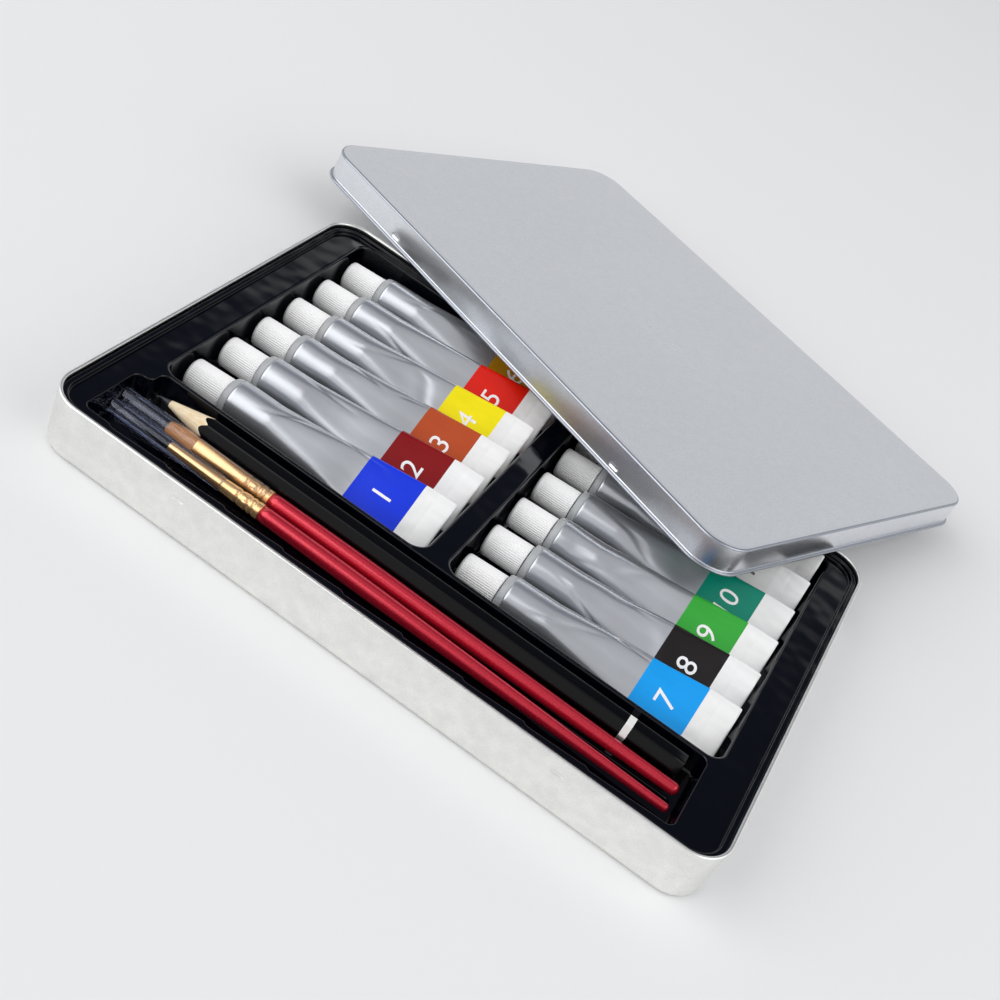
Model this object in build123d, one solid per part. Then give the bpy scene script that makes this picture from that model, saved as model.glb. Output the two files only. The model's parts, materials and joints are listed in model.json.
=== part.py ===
"""A slip-lid tin of artist's paints, open, with its lid leaning on it.

The base holds a thin black tray. The tray has two deep wells, each with a row
of six paint tubes, and a shallow well along the near side with two brushes and
a pencil. The lid lies askew behind the tin: its skirt rests on the far rim and
one of its corners stands on the table.

Origin: centre of the base's flat bottom. +X runs along the length, from the
caps towards the tube tails, +Y away from the brushes, +Z up. Millimetres.
"""
import os
from math import atan, cos, degrees, pi, radians, sin, sqrt, tan

from build123d import *

os.makedirs("parts", exist_ok=True)

# ---------------------------------------------------------------- tin
tin_height = 19.0         # the length and width follow from what the tray holds
corner_radius = 11.1
sheet = 0.4               # tinplate with its coating
bottom_round = 2.0
rim_bead = 1.2            # rolled edge, turned inwards
roll_share = 0.49         # rounding of the base's rolled edge, of its thickness

dimple_x = 62.0           # snap dimples, each side of the middle
dimple_drop = 5.0         # below the rim
dimple_length = 3.6
dimple_radius = 0.9
dimple_depth = 0.35

# ---------------------------------------------------------------- lid
lid_slack = 0.3           # between the lid's skirt and the base's wall
lid_skirt = 10.3
lid_crease = 0.7
lid_bead = 1.0            # rolled edge, turned outwards
lid_roll_share = 0.45
lid_dimple_drop = 7.6     # below the lid's top
lid_yaw = -24.1           # turned on its own plane
lid_reach = 163.0         # from the tin's far wall to the corner on the table
lid_shift = -1.1          # lid centre along X
rest_gap = 0.3            # under everything that just lies on something

# ---------------------------------------------------------------- tray
tray_wall = 0.5
tray_gap = 0.4            # tray to tin wall
tray_foot_gap = 0.2       # tray to tin floor
lip_drop = 1.5            # tray lip below the tin's rim
lip_width = 2.2
ledge_drop = 1.6          # ledge below the lip
skirt_foot = 2.4          # lower edge of the tray's outer wall, above the table
draft = 4.0               # slope of the moulded walls, degrees
well_corner = 4.0
well_floor_round = 1.0
edge_round = 0.7          # upper edges of the tube wells
brush_edge_round = 0.3    # upper edge of the brush well

# ---------------------------------------------------------------- tubes
tubes_per_row = 6
tail_gap = 0.6            # between neighbouring tails, in plan
tube_radius = 7.0
tube_wall = 0.25
cap_length = 13.5
cap_end_radius = 5.2
cap_mouth_radius = 5.45
cap_top = 2.6             # solid end of the cap
cap_round = 1.0
nozzle_radius = 3.4
nozzle_slack = 0.05
nozzle_bore = 1.6
nozzle_gap = 0.4          # nozzle's mouth to the cap's inner end
shoulder_radius = 4.6     # shoulder's front edge
crimp_lap = 0.6           # how far the fold overlaps the flattened body
shoulder_gap = 0.4        # cap mouth to shoulder
shoulder_length = 2.4
round_length = 14.0       # stretch of the body that is still round
wedge_length = 51.5       # stretch that flattens
crimp_length = 8.2
crimp_thickness = 0.9
crimp_wall_share = 0.8    # of the wall that is kept where the body is flattest
wedge_steps = 4           # sections along the wedge
tail_tilt = 36.0          # the flat tails lie like shingles, far edge up
tube_slope = 2.5          # tail end higher than cap end, degrees
tube_end_gap = 1.8        # cap end to the well's end wall, at the ledge
tail_end_gap = 1.5        # tail end to the well's other end wall

# ---------------------------------------------------------------- brush well
brush_well_depth = 7.7    # below the ledge
brush_ledge_left = 6.7    # lip's inner face to the brush well
brush_ledge_right = 3.0   # the least at the other end
near_ledge = 3.95         # lip's inner face to the brush well, near side
finger_room = 11.4        # round brush's axis to the well's near edge
brush_end_gap = 1.2       # sleeves' open ends to the well's end wall
handle_end_gap = 2.4      # handle's tip to the other end wall
pencil_step = 5.0         # the pencil's end of the well starts this much later
pencil_end_gap = 3.0      # lead's point to its end wall
pencil_side_gap = 0.76    # pencil to the well's far edge, at the ledge
step_side_gap = 3.35      # flat brush's sleeve to the step in the end wall
between_long = 0.51       # flat brush's sleeve to the pencil
between_brushes = 0.35    # flat brush's sleeve to the round brush's ferrule
tooth_count = 9           # small steps along the near edge
tooth_lead = 8.1          # well's corner to the first step
tooth_share = 0.92        # of the pitch that each wedge takes
tooth_depth = 0.9
rib_width = 0.8
rib_height = 1.3
rib_clear = 0.15          # flat brush's sleeve to a rib's middle, in plan
rib_start = 60.0          # from the well's left end
rib_end = 3.0             # from the well's right end

# ---------------------------------------------------------------- tube wells
divider = 2.0             # wall between the brush well and the tube wells
cross_band = 7.8          # ledge between the two tube wells
end_ledge = 9.8           # lip's inner face to a tube well
well_far_margin = 0.6     # far edge of the wells to the lip's inner face
far_side_gap = 1.15       # farthest tail to the well's far edge, at the ledge
left_near_room = 5.94     # nearest tail to the well's near edge, at the ledge
right_row_shift = 1.7     # the right row lies this much nearer

# ---------------------------------------------------------------- brushes
handle_shoulder = 2.45
handle_belly = 2.6
belly_place = 20.0        # from the ferrule's back edge
waist_place = 60.0
handle_tip_radius = 1.8
handle_end = 190.7        # from the sleeve's open end
tenon_length = 8.0
tenon_radius = 1.8
ferrule_wall = 0.35
ferrule_back_radius = 2.5
groove_radius = 0.35
groove_depth = 0.15
groove_steps = (2.2, 4.0, 7.5)  # grooves ahead of the ferrule's back edge
sleeve_wall = 0.2
sleeve_slack = 0.05

round_yaw = -0.75
round_sleeve_end = 40.6
round_hair_tip = 8.0
round_ferrule_front = 21.5
round_ferrule_back = 54.0
round_front_radius = 1.4
round_hair_radius = 1.0
round_hair_belly = 1.2
hair_belly_share = 0.67   # where the belly is, from the tip to the ferrule
hair_taper_share = 0.45   # where the hair begins to draw in
hair_taper_radius = 1.02
hair_point = 0.15         # radius at the very tip

flat_yaw = -0.2
flat_turn = 45.0          # the flat faces up and towards the near side
flat_sleeve_end = 51.4
flat_hair_tip = 15.6
flat_ferrule_front = 26.0
flat_ferrule_back = 52.9
flat_half_width = 2.6     # front of the flat ferrule
flat_waist = 0.2          # how much flatter than round its middle is
flat_half_thickness = 1.3
flat_waist_share = 0.55   # where along the ferrule that middle is
hair_slack = 0.05         # hair to the ferrule's inside
hair_spread = 0.2         # how far the hair swells past its root

# ---------------------------------------------------------------- pencil
pencil_flats = 7.0
pencil_length = 181.3
lead_radius = 1.1
lead_tip_radius = 0.05
lead_point = 4.2
wood_cone = 11.8

# ================================================================ layout
# Along the tin: two tube wells and the band between them, or the brush well.
shoulder_start = cap_length + shoulder_gap
body_start = shoulder_start + shoulder_length
wedge_start = body_start + round_length
crimp_start = wedge_start + wedge_length
tube_length = crimp_start + crimp_length
tube_well_length = tube_end_gap + tube_length + tail_end_gap
pencil_reach = pencil_step + pencil_end_gap + pencil_length
brush_well_length = max(brush_end_gap + handle_end, pencil_reach) + handle_end_gap
inner_length = max(2 * (tube_well_length + end_ledge) + cross_band,
                   brush_ledge_left + brush_well_length + brush_ledge_right)
left_well_left = -cross_band / 2 - tube_well_length
left_well_right = -cross_band / 2
right_well_left = cross_band / 2
right_well_right = cross_band / 2 + tube_well_length
brush_well_left = -inner_length / 2 + brush_ledge_left
brush_well_right = brush_well_left + brush_well_length
tooth_pitch = (brush_well_length - 2 * well_corner - tooth_lead) / tooth_count
brush_left = brush_well_left + brush_end_gap
pencil_well_left = brush_well_left + pencil_step
pencil_left = pencil_well_left + pencil_end_gap

# Across the tin, from the near side: brushes, pencil, divider, tubes.
tail_half_width = pi * tube_radius / 2 - crimp_thickness / 2
tail_plan = 2 * tail_half_width * cos(radians(tail_tilt)) + crimp_thickness * sin(radians(tail_tilt))
tube_pitch = tail_plan + tail_gap
pencil_half = pencil_flats / sqrt(3)
flat_bore = flat_half_width + sleeve_slack
flat_sleeve_radius = flat_bore + sleeve_wall
brush_well_width = (finger_room + ferrule_back_radius + between_brushes + 2 * flat_sleeve_radius
                    + between_long + 2 * pencil_half + pencil_side_gap)
tube_well_width = left_near_room + tubes_per_row * tube_pitch - tail_gap + far_side_gap
inner_width = near_ledge + brush_well_width + divider + tube_well_width + well_far_margin
brush_well_near = -inner_width / 2 + near_ledge
brush_well_far = brush_well_near + brush_well_width
round_y = brush_well_near + finger_room
flat_y = round_y + ferrule_back_radius + between_brushes + flat_sleeve_radius
pencil_y = flat_y + flat_sleeve_radius + between_long + pencil_half
tube_well_near = brush_well_far + divider
tube_well_far = tube_well_near + tube_well_width
left_row_y = tube_well_near + left_near_room + tail_plan / 2
right_row_y = left_row_y - right_row_shift

# Outwards from the tray's ledge, and upwards from the table.
tray_length = inner_length + 2 * lip_width
tray_width = inner_width + 2 * lip_width
tray_radius = corner_radius - sheet - tray_gap
tin_length = tray_length + 2 * (tray_gap + sheet)
tin_width = tray_width + 2 * (tray_gap + sheet)
foot = sheet + tray_foot_gap
lip_top = tin_height - lip_drop
ledge = lip_top - ledge_drop
tube_floor = foot + tray_wall
brush_floor = ledge - brush_well_depth

over = 1.0                # how far cutters run past what they cut

# ================================================================ helpers


def slab(length, width, radius, low, high):
    """Upright block with rounded corners, centred on the origin."""
    outline = RectangleRounded(length, width, radius)
    return Pos(0, 0, low) * extrude(outline, high - low)


def well(x0, x1, y0, y1, floor, top, grow=0.0):
    """Cutter for a moulded well, given its opening at the ledge.

    The walls lean out by the draft angle, the floor's edge is rounded, and
    grow makes the matching cutter for the underside of the sheet.
    """
    lean = tan(radians(draft))
    inset = (top - floor) * lean - grow
    low = floor - grow
    height = top - floor + grow + ledge_drop + over
    outline = RectangleRounded(x1 - x0 - 2 * inset, y1 - y0 - 2 * inset, well_corner + grow)
    tool = extrude(outline, height, taper=-draft)
    tool = fillet(tool.faces().sort_by(Axis.Z)[0].edges(), well_floor_round + grow)
    return Pos((x0 + x1) / 2, (y0 + y1) / 2, low) * tool


def dimple(radius):
    """Lying capsule along X, centred on the origin."""
    half = (dimple_length / 2) - dimple_radius
    bar = Rot(0, 90, 0) * Cylinder(radius, 2 * half)
    return bar + Pos(half, 0, 0) * Sphere(radius) + Pos(-half, 0, 0) * Sphere(radius)


def dimpled(shell, wall_y, z):
    """Presses four dimples into the long walls, at a height."""
    for side in (-1, 1):
        for x in (-dimple_x, dimple_x):
            centre = Pos(x, side * (wall_y + dimple_radius - dimple_depth), z)
            room = Pos(x, side * (wall_y - dimple_length), z)
            room = room * Box(dimple_length * 2, dimple_length * 2, dimple_length)
            shell = shell + (centre * dimple(dimple_radius + sheet) & room)
            shell = shell - centre * dimple(dimple_radius)
    return shell


def save(shape, name):
    """Writes one piece under its node name."""
    export_step(shape, f"parts/{name}.step")


# ================================================================ tin base
# A drawn pan: flat floor, plain wall, and a bead rolled inwards at the rim.
base = slab(tin_length, tin_width, corner_radius, 0, tin_height - rim_bead / 2)
base = fillet(base.faces().sort_by(Axis.Z)[0].edges(), bottom_round)
inside = slab(tin_length - 2 * sheet, tin_width - 2 * sheet, corner_radius - sheet, sheet, tin_height)
inside = fillet(inside.faces().sort_by(Axis.Z)[0].edges(), bottom_round - sheet)
base = base - inside
bead = slab(tin_length, tin_width, corner_radius, tin_height - rim_bead, tin_height)
bead = bead - slab(tin_length - 2 * rim_bead, tin_width - 2 * rim_bead, corner_radius - rim_bead,
                   0, tin_height + over)
bead = fillet(bead.faces().filter_by(Axis.Z).edges(), rim_bead * roll_share)
base = dimpled(base + bead, tin_width / 2, tin_height - dimple_drop)
save(base, "tin_base")

# ================================================================ lid
# Built closed-side up with its top at z = 0, then laid on the far rim.
lid_length = tin_length + 2 * (lid_slack + sheet)
lid_width = tin_width + 2 * (lid_slack + sheet)
lid_radius = corner_radius + lid_slack + sheet
lid = slab(lid_length, lid_width, lid_radius, -lid_skirt, 0)
lid = fillet(lid.faces().sort_by(Axis.Z)[-1].edges(), lid_crease)
lid_bead_ring = slab(lid_length + 2 * lid_bead, lid_width + 2 * lid_bead, lid_radius + lid_bead,
                     -lid_skirt, -lid_skirt + lid_bead)
lid_bead_ring = fillet(lid_bead_ring.faces().filter_by(Axis.Z).edges(), lid_bead * lid_roll_share)
lid = lid + lid_bead_ring
lid = lid - slab(lid_length - 2 * sheet, lid_width - 2 * sheet, lid_radius - sheet,
                 -lid_skirt - over, -sheet)
lid = dimpled(lid, lid_width / 2, -lid_dimple_drop)

# The tilt follows from the rim's height and the corner's reach behind the tin.
lid_tilt = degrees(atan((tin_height + rest_gap) / lid_reach))
turn = radians(abs(lid_yaw))
foot_y = (lid_length / 2 - lid_radius) * sin(turn) + (lid_width / 2 - lid_radius) * cos(turn)
foot_y = foot_y + lid_radius + lid_bead
tilt = radians(lid_tilt)
lid_y = tin_width / 2 + lid_reach - foot_y * cos(tilt) + lid_skirt * sin(tilt)
lid_z = foot_y * sin(tilt) + lid_skirt * cos(tilt)
lid_place = Pos(lid_shift, lid_y, lid_z) * Rot(-lid_tilt, 0, 0) * Rot(0, 0, lid_yaw)
save(lid_place * lid, "tin_lid")

# ================================================================ tray
# One vacuum-formed sheet: the solid's top side less its own underside.


def tooth(index, grow):
    """Thin wedge that steps the near edge out and lets it drift back."""
    x0 = brush_well_left + well_corner + tooth_lead + index * tooth_pitch - grow
    x1 = x0 + tooth_pitch * tooth_share + 2 * grow
    y0 = brush_well_near + over
    y1 = brush_well_near - grow
    outline = Polygon((x0, y0), (x0, y1 - tooth_depth), (x1, y1), (x1, y0), align=None)
    return Pos(0, 0, brush_floor + 3 * well_floor_round - grow) * extrude(outline, brush_well_depth)


def tray_side(grow):
    """Top side of the sheet, or its underside when grow is the wall."""
    block = slab(tray_length - 2 * grow, tray_width - 2 * grow, tray_radius - grow,
                 foot - grow, lip_top - grow)
    recess_inset = 2 * lip_width - 2 * grow
    recess = slab(tray_length - recess_inset, tray_width - recess_inset, tray_radius - recess_inset / 2,
                  ledge - grow, lip_top + over)
    block = block - recess
    for left, right in ((left_well_left, left_well_right), (right_well_left, right_well_right)):
        block = block - well(left, right, tube_well_near, tube_well_far, tube_floor, ledge, grow)
    step_y = flat_y + flat_sleeve_radius + step_side_gap
    block = block - well(brush_well_left, brush_well_right, brush_well_near, step_y,
                         brush_floor, ledge, grow)
    block = block - well(pencil_well_left, brush_well_right, flat_y, brush_well_far,
                         brush_floor, ledge, grow)
    return block


def toothed(block, grow):
    """Cuts the row of teeth."""
    for index in range(tooth_count):
        block = block - tooth(index, grow)
    return block


def ledge_edges(block, beyond):
    """Upper edges of the wells on one side of the divider: beyond it, or on this side."""
    near = rest_gap / 2
    face = block.faces().filter_by(Axis.Z).filter_by_position(Axis.Z, ledge - near, ledge + near)
    loops = face.sort_by(SortBy.AREA)[-1].inner_wires()
    limit = brush_well_far + divider / 2
    chosen = [loop for loop in loops if (loop.bounding_box().max.Y > limit) == beyond]
    return [edge for loop in chosen for edge in loop.edges()]


top_side = tray_side(0)
top_side = fillet(ledge_edges(top_side, True), edge_round)
top_side = fillet(ledge_edges(top_side, False), brush_edge_round)
tray = toothed(top_side, 0) - toothed(tray_side(tray_wall), tray_wall)
skirt_cut = slab(tray_length + over, tray_width + over, tray_radius, 0, skirt_foot)
skirt_cut = skirt_cut - slab(tray_length - 2 * tray_wall, tray_width - 2 * tray_wall,
                             tray_radius - tray_wall, -over, skirt_foot + over)
tray = tray - skirt_cut


def rib(y):
    """Low ridge that keeps two of the long pieces apart."""
    start = brush_well_left + rib_start
    length = brush_well_right - rib_end - start
    root = tray_wall / 2
    bar = Box(length, rib_width, rib_height + root, align=(Align.MIN, Align.CENTER, Align.MIN))
    return Pos(start, y, brush_floor - root) * bar


rib_off = flat_sleeve_radius + rib_clear
tray = tray + rib(flat_y - rib_off) + rib(flat_y + rib_off)
save(tray, "tray")

# ================================================================ paint tubes
# Local frame: centre of the cap's closed end, +X towards the tail.


def flattened(half_thickness, radius):
    """Half width of an ellipse that keeps the round tube's girth."""
    low = radius
    high = pi * radius / 2
    for _ in range(40):
        wide = (low + high) / 2
        mean = sqrt((3 * wide + half_thickness) * (wide + 3 * half_thickness))
        girth = pi * (3 * (wide + half_thickness) - mean)
        if girth < 2 * pi * radius:
            low = wide
        else:
            high = wide
    return wide


def across(x):
    """Plane square to the tube's axis, with the flat of the tail along its own x."""
    return Plane(origin=(x, 0, 0), x_dir=(0, 1, 0), z_dir=(1, 0, 0))


def tube_form(shrink):
    """Round body that flattens in a wedge towards the tail."""
    body = across(body_start + shrink) * extrude(Circle(tube_radius - shrink), round_length - shrink)
    sections = [across(wedge_start) * Circle(tube_radius - shrink)]
    for step in range(1, wedge_steps + 1):
        part = step / wedge_steps
        thick = tube_radius + (crimp_thickness / 2 - tube_radius) * part
        wide = flattened(thick, tube_radius)
        thin = max(thick - shrink, crimp_thickness / 2 - shrink * crimp_wall_share)
        sections.append(across(wedge_start + wedge_length * part) * Ellipse(wide - shrink, thin))
    return body + loft(sections)


def bar_x(radius, start, end):
    """Round bar along X."""
    return Pos(start, 0, 0) * Rot(0, 90, 0) * Cylinder(radius, end - start,
                                                       align=(Align.CENTER, Align.CENTER, Align.MIN))


def cone_x(radius_start, radius_end, start, end):
    """Round cone along X."""
    return Pos(start, 0, 0) * Rot(0, 90, 0) * Cone(radius_start, radius_end, end - start,
                                                   align=(Align.CENTER, Align.CENTER, Align.MIN))


paint = tube_form(tube_wall)
shoulder = cone_x(shoulder_radius, tube_radius, shoulder_start, body_start)
nozzle = bar_x(nozzle_radius, cap_top + nozzle_gap, shoulder_start + tube_wall)
crimp = Box(crimp_length + crimp_lap, 2 * tail_half_width, crimp_thickness,
            align=(Align.MIN, Align.CENTER, Align.CENTER))
crimp = Pos(crimp_start - crimp_lap, 0, 0) * crimp
tube = tube_form(0) + shoulder + nozzle + crimp - paint
tube = tube - bar_x(nozzle_bore, 0, body_start + over)
paint = paint + bar_x(nozzle_bore, cap_top + nozzle_gap, body_start + over)

cap = cone_x(cap_end_radius, cap_mouth_radius, 0, cap_length)
cap = fillet(cap.faces().sort_by(Axis.X)[0].edges(), cap_round)
cap = cap - bar_x(nozzle_radius + nozzle_slack, cap_top, cap_length + over)


def tube_place(left, row_y, index):
    """Where a tube lies: shoulder just off the floor, tail end raised."""
    rise = radians(tube_slope)
    axis_height = tube_floor + rest_gap + tube_radius / cos(rise) - body_start * sin(rise)
    place = Pos(left, row_y + index * tube_pitch, axis_height)
    return place * Rot(0, -tube_slope, 0) * Rot(tail_tilt, 0, 0)


rows = (("left", left_well_left, left_row_y), ("right", right_well_left, right_row_y))
for row_name, well_left, row_y in rows:
    for index in range(tubes_per_row):
        place = tube_place(well_left + tube_end_gap, row_y, index)
        number = index + 1
        save(place * tube, f"tube_{row_name}_{number}")
        save(place * paint, f"paint_{row_name}_{number}")
        save(place * cap, f"cap_{row_name}_{number}")

# ================================================================ brushes
# Local frame: centre of the sleeve's open end, +X towards the handle's tip.


def turned(points, start, end):
    """Solid of revolution about X from a smooth profile of (x, radius) points."""
    profile = Spline(*[(x, radius) for x, radius in points])
    edge = Polyline(profile @ 1, (end, 0), (start, 0), profile @ 0)
    return revolve(make_face(profile + edge), Axis.X)


def handle(back):
    """Wooden handle with a belly, a rounded tip and a tenon for the ferrule."""
    straight = handle_end - handle_tip_radius
    points = ((back, handle_shoulder), (back + belly_place, handle_belly),
              (back + waist_place, handle_shoulder), (straight, handle_tip_radius))
    shaft = turned(points, back, straight)
    tip = Pos(straight, 0, 0) * Sphere(handle_tip_radius)
    return shaft + tip + bar_x(tenon_radius, back - tenon_length, back)


def grooved(shell, back):
    """Rolls the three grooves that grip the handle."""
    for step in groove_steps:
        ring = Torus(ferrule_back_radius + groove_radius - groove_depth, groove_radius)
        shell = shell - Pos(back - step, 0, 0) * Rot(0, 90, 0) * ring
    return shell


def sleeve(inner_radius, end):
    """Open clear tube that guards the hair."""
    return bar_x(inner_radius + sleeve_wall, 0, end) - bar_x(inner_radius, -over, end + over)


ferrule_length = round_ferrule_back - round_ferrule_front
ferrule_slope = (ferrule_back_radius - round_front_radius) / ferrule_length
round_ferrule = cone_x(round_front_radius, ferrule_back_radius, round_ferrule_front, round_ferrule_back)
round_ferrule = round_ferrule - cone_x(round_front_radius - ferrule_wall,
                                       ferrule_back_radius - ferrule_wall,
                                       round_ferrule_front, round_ferrule_back)
round_ferrule = grooved(round_ferrule, round_ferrule_back)
hair_root = round_ferrule_front + tenon_length
hair_reach = round_ferrule_front - round_hair_tip
hair_points = ((round_hair_tip, hair_point),
               (round_hair_tip + hair_taper_share * hair_reach, hair_taper_radius),
               (round_hair_tip + hair_belly_share * hair_reach, round_hair_belly),
               (round_ferrule_front, round_hair_radius))
round_hair = turned(hair_points, round_hair_tip, round_ferrule_front)
round_hair = round_hair + bar_x(round_hair_radius, round_ferrule_front, hair_root)
sleeve_grip = round_front_radius + ferrule_slope * (round_sleeve_end - round_ferrule_front)
round_bore = sleeve_grip + sleeve_slack
round_height = brush_floor + rest_gap + max(handle_belly, round_bore + sleeve_wall)
round_place = Pos(brush_left, round_y, round_height) * Rot(0, 0, round_yaw)
save(round_place * handle(round_ferrule_back), "round_brush_handle")
save(round_place * round_ferrule, "round_brush_ferrule")
save(round_place * round_hair, "round_brush_hair")
save(round_place * sleeve(round_bore, round_sleeve_end), "round_brush_sleeve")


def flat_form(shrink):
    """Ferrule that turns from an oval front to a round back."""
    middle = flat_ferrule_front + flat_waist_share * (flat_ferrule_back - flat_ferrule_front)
    front = Ellipse(flat_half_width - shrink, flat_half_thickness - shrink)
    waist = Ellipse(ferrule_back_radius - shrink, ferrule_back_radius - shrink - flat_waist)
    back = Circle(ferrule_back_radius - shrink)
    return loft([across(flat_ferrule_front) * front, across(middle) * waist,
                 across(flat_ferrule_back) * back])


flat_ferrule = grooved(flat_form(0) - flat_form(ferrule_wall), flat_ferrule_back)
hair_wide = flat_half_width - ferrule_wall - hair_slack
hair_thick = flat_half_thickness - ferrule_wall - hair_slack
hair_middle = (flat_hair_tip + flat_ferrule_front) / 2
flat_hair = loft([across(flat_hair_tip) * Ellipse(hair_wide + hair_spread, hair_thick / 2),
                  across(hair_middle) * Ellipse(hair_wide + hair_spread, hair_thick + hair_spread),
                  across(flat_ferrule_front) * Ellipse(hair_wide, hair_thick)])
flat_hair = flat_hair + across(flat_ferrule_front) * extrude(Ellipse(hair_wide, hair_thick), tenon_length)
flat_height = brush_floor + rest_gap + flat_sleeve_radius
flat_place = Pos(brush_left, flat_y, flat_height) * Rot(0, 0, flat_yaw) * Rot(flat_turn, 0, 0)
save(flat_place * handle(flat_ferrule_back), "flat_brush_handle")
save(flat_place * flat_ferrule, "flat_brush_ferrule")
save(flat_place * flat_hair, "flat_brush_hair")
save(flat_place * sleeve(flat_bore, flat_sleeve_end), "flat_brush_sleeve")

# ================================================================ pencil
# Local frame: point of the lead, +X towards the blunt end.
sharpened = lead_point + wood_cone
cone_slope = (pencil_flats / 2 - lead_radius) / wood_cone
cone_full = lead_point + (pencil_flats - lead_radius) / cone_slope
hexagon = RegularPolygon(pencil_flats / 2, 6, major_radius=False)
pencil = across(lead_point) * extrude(hexagon, pencil_length - lead_point)
envelope = cone_x(lead_radius, pencil_flats, lead_point, cone_full)
envelope = envelope + bar_x(pencil_flats, cone_full, pencil_length)
pencil = (pencil & envelope) - bar_x(lead_radius, 0, pencil_length + over)
lead = cone_x(lead_tip_radius, lead_radius, 0, lead_point) + bar_x(lead_radius, lead_point, pencil_length)
pencil_place = Pos(pencil_left, pencil_y, brush_floor + rest_gap + pencil_flats / 2)
save(pencil_place * pencil, "pencil_wood")
save(pencil_place * lead, "pencil_lead")
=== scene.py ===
"""A slip-lid tin of artist's paints: base, lid, tray, twelve tubes, two brushes and a pencil."""
import json
import math

import bmesh
import bpy
import numpy as np
from mathutils import Matrix, Vector


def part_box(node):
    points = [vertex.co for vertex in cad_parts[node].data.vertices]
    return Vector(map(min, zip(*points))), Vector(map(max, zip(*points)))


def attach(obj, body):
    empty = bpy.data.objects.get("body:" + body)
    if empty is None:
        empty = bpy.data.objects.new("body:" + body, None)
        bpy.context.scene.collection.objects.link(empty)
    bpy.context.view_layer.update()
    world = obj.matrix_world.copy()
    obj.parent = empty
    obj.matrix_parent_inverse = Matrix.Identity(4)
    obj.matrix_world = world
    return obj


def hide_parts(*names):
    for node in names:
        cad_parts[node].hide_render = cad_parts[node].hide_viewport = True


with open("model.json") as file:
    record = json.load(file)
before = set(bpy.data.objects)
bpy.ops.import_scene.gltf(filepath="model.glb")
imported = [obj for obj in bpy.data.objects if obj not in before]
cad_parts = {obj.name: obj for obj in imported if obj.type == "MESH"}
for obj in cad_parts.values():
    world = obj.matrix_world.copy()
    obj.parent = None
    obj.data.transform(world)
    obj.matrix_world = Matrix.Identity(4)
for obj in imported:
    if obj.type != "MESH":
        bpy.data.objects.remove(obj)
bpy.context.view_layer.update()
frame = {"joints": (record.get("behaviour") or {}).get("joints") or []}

joint = {each["name"]: each for each in frame["joints"]}
mm = 0.001

# ---------------------------------------------------------------- view
# The camera stands in front of the tin, looks down at it and leans to one
# side, so the tin's long axis runs down across the picture.
camera_place = (0.05715, -0.34089, 0.28152)
camera_heading = 9.237     # degrees, anticlockwise from +Y
camera_down = 37.660
camera_lean = 29.198
focal_share = 1.434        # focal length over the picture's width

camera_data = bpy.data.cameras.new("camera")
camera_data.lens = focal_share * camera_data.sensor_width
camera_data.clip_start = 0.01
camera = bpy.data.objects.new("camera", camera_data)
camera.matrix_world = (Matrix.Translation(camera_place)
                       @ Matrix.Rotation(math.radians(camera_heading), 4, "Z")
                       @ Matrix.Rotation(math.radians(90 - camera_down), 4, "X")
                       @ Matrix.Rotation(math.radians(camera_lean), 4, "Z"))
bpy.context.scene.collection.objects.link(camera)
bpy.context.scene.camera = camera
bpy.context.scene.view_settings.view_transform = "Standard"

# ---------------------------------------------------------------- tin base
# A shallow pan drawn from satin tinplate. Its rim is rolled inwards into a
# bead, and four small dimples pressed into the long walls hold the lid.
tin_low, tin_high = (np.array(corner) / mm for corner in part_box("tin_base"))
tin_length, tin_width, tin_height = tin_high - tin_low
tin_corner = 11.1
sheet = 0.4
foot_round = 2.0
bead = 1.2
bead_nip = 0.3             # the inner wall starts this far under the bead
flat_ring = 2.0            # width of the flat beside a bend
wall_rows = (7.0, 16.5)    # heights that divide the plain wall
dimple_x = 62.0
dimple_drop = 5.0
dimple_half = 1.4          # half the straight stretch of a dimple
dimple_radius = 0.95
dimple_depth = 0.38
dimple_grid = (2.4, 1.2)   # close-set points reach this far along X and up, either side of a dimple


def linear(code):
    """Linear colour with alpha from an sRGB hex code."""
    share = np.array([int(code[k:k + 2], 16) for k in (1, 3, 5)]) / 255
    curve = np.where(share <= 0.04045, share / 12.92, ((share + 0.055) / 1.055) ** 2.4)
    return (*curve.tolist(), 1.0)


def feed(node, inputs):
    """Sets a node's inputs: each is a value, a socket, or a node that gives its first output."""
    for key, value in inputs.items():
        source = value.outputs[0] if isinstance(value, bpy.types.Node) else value
        if isinstance(source, bpy.types.NodeSocket):
            node.id_data.links.new(source, node.inputs[key])
        else:
            node.inputs[key].default_value = source


def add(tree, kind, inputs, **settings):
    """Adds one shader node with its settings, and feeds its inputs."""
    made = tree.nodes.new("ShaderNode" + kind)
    for key, value in settings.items():
        setattr(made, key, value)
    feed(made, inputs)
    return made


def finish(name, values):
    """A material of one Principled shader, its plain values set on the shader's own sockets."""
    material = bpy.data.materials.new(name)
    material.use_nodes = True
    shader = material.node_tree.nodes["Principled BSDF"]
    feed(shader, values)
    return material, material.node_tree, shader


def smooth(low, high, x):
    """0 below low, 1 above high, and a cubic ease between them."""
    share = np.clip((x - low) / (high - low), 0, 1)
    return share * share * (3 - 2 * share)


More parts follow.
